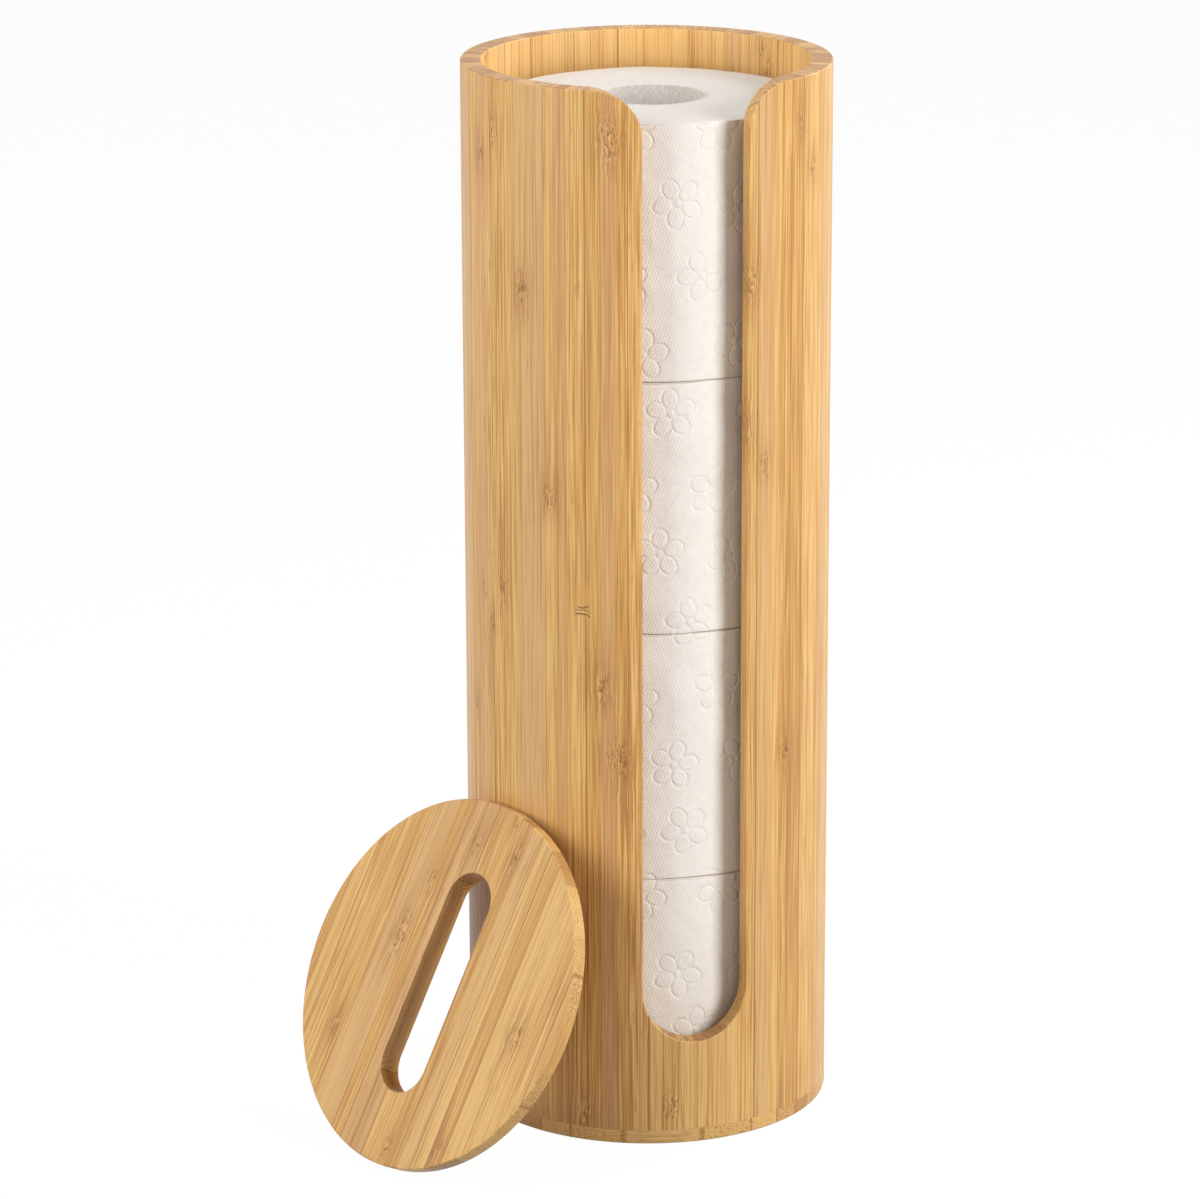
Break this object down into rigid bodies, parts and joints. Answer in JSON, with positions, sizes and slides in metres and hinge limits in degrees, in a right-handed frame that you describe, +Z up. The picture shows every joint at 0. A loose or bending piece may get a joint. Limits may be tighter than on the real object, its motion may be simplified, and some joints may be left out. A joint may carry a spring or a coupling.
{
  "type": "toilet roll storage canister",
  "caption": "Free-standing round bamboo canister that stores a stack of toilet rolls, with a tall front slot and a lift-off lid that leans on its side.",
  "frame": {"origin": "middle of the base board's underside", "axes": "+Z up, the front slot faces -Y"},
  "size_m": [0.2098, 0.1836, 0.4094],
  "materials": {
    "bamboo_wall": "satin bamboo strips, fine upright grain",
    "bamboo_board": "satin laminated bamboo board",
    "tissue": "matt embossed tissue",
    "core_board": "matt grey recycled board"
  },
  "bodies": {
    "holder": {"stave_01": "bamboo_wall", "stave_02": "bamboo_wall", "stave_03": "bamboo_wall", "stave_04": "bamboo_wall", "stave_05": "bamboo_wall", "stave_06": "bamboo_wall", "stave_07": "bamboo_wall", "stave_08": "bamboo_wall", "stave_09": "bamboo_wall", "stave_10": "bamboo_wall", "stave_11": "bamboo_wall", "stave_12": "bamboo_wall", "stave_13": "bamboo_wall", "stave_14": "bamboo_wall", "stave_15": "bamboo_wall", "stave_16": "bamboo_wall", "stave_17": "bamboo_wall", "stave_18": "bamboo_wall", "stave_19": "bamboo_wall", "stave_20": "bamboo_wall", "stave_21": "bamboo_wall", "stave_22": "bamboo_wall", "stave_23": "bamboo_wall", "stave_24": "bamboo_wall", "base_board": "bamboo_board"},
    "lid": {"lid": "bamboo_board"},
    "roll_1": {"paper_roll_1": "tissue", "core_1": "core_board"},
    "roll_2": {"paper_roll_2": "tissue", "core_2": "core_board"},
    "roll_3": {"paper_roll_3": "tissue", "core_3": "core_board"},
    "roll_4": {"paper_roll_4": "tissue", "core_4": "core_board"}
  },
  "joints": [
    {"name": "lid_lift", "type": "slide", "parent": "holder", "child": "lid", "axis": [0, 0, 1], "range_m": [0, 0.43]},
    {"name": "roll_1_lift", "type": "slide", "parent": "holder", "child": "roll_1", "axis": [0, 0, 1], "range_m": [0, 0.415]},
    {"name": "roll_2_lift", "type": "slide", "parent": "roll_1", "child": "roll_2", "axis": [0, 0, 1], "range_m": [0, 0.32]},
    {"name": "roll_3_lift", "type": "slide", "parent": "roll_2", "child": "roll_3", "axis": [0, 0, 1], "range_m": [0, 0.225]},
    {"name": "roll_4_lift", "type": "slide", "parent": "roll_3", "child": "roll_4", "axis": [0, 0, 1], "range_m": [0, 0.125]}
  ]
}
